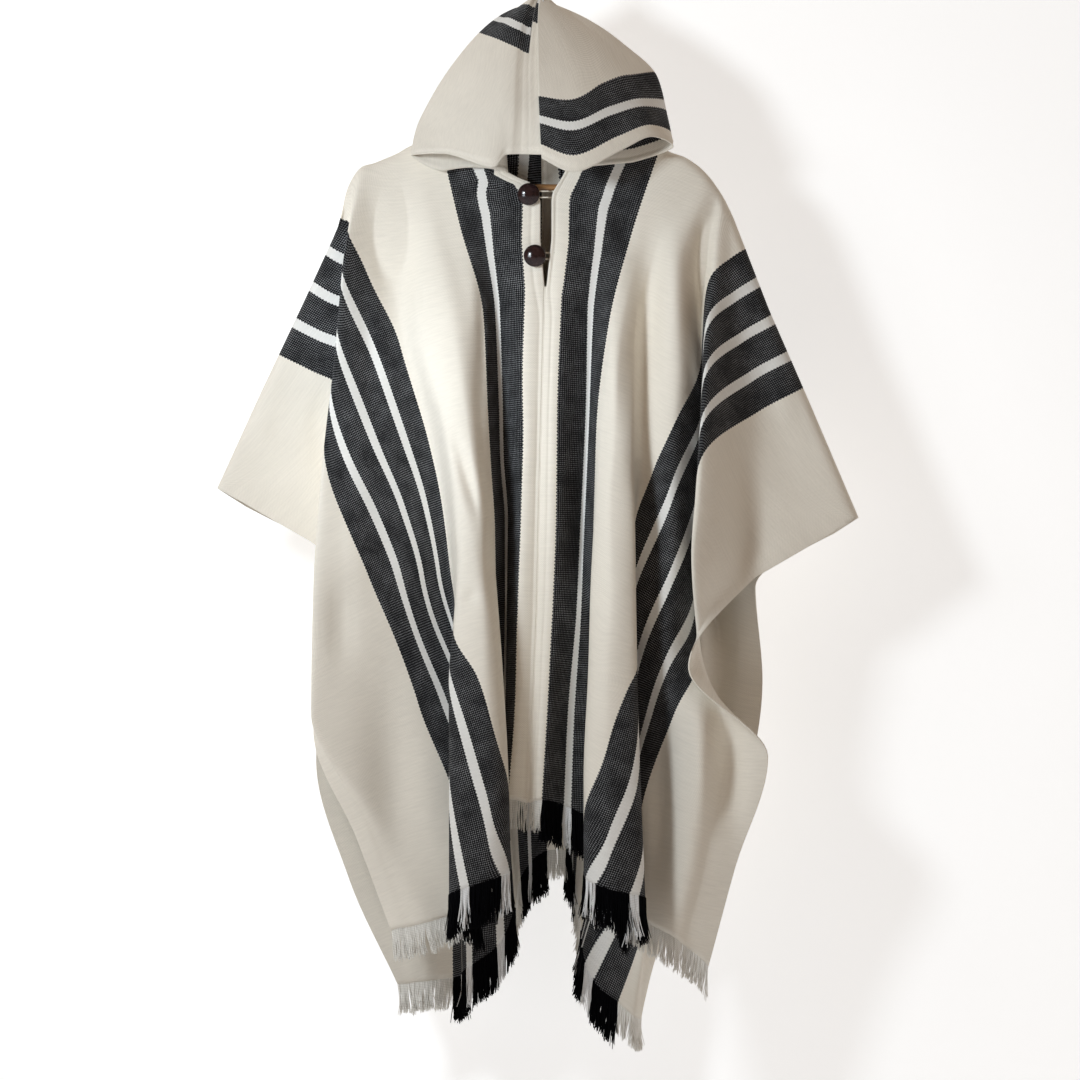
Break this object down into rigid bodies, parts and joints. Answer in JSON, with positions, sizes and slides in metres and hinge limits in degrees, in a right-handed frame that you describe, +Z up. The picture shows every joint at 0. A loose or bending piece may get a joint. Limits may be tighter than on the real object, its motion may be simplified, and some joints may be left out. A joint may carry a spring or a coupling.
{
  "type": "hooded poncho on a coat hanger",
  "caption": "Hooded andean poncho with striped woven cloth, a buttoned neck slit and fringed hems, hanging on a wooden coat hanger with a wire hook.",
  "frame": {"origin": "inside top of the hook's crook, where the rail that holds it touches", "axes": "+Z up, -Y towards the front (the slit and the buttons), +X towards the wearer's left arm as seen on the right from the front"},
  "size_m": [0.834, 0.2446, 1.4469],
  "materials": {
    "cloth": "fine woven wool blend, cream with charcoal and white warp stripes",
    "fringe": "loose warp ends, black and white in the order of the stripes",
    "button": "dark brown, polished",
    "loop": "twisted cream cord",
    "wood": "varnished",
    "steel": "bright"
  },
  "bodies": {
    "root": {"cloth_left": "cloth", "cloth_right": "cloth", "hood_left": "cloth", "hood_right": "cloth", "fringe_front_left": "fringe", "fringe_front_right": "fringe", "fringe_back_left": "fringe", "fringe_back_right": "fringe", "button_top": "button", "button_bottom": "button", "loop_top": "loop", "loop_bottom": "loop", "hanger_arms": "wood", "hanger_bar": "wood", "hanger_hook": "steel"}
  },
  "joints": []
}
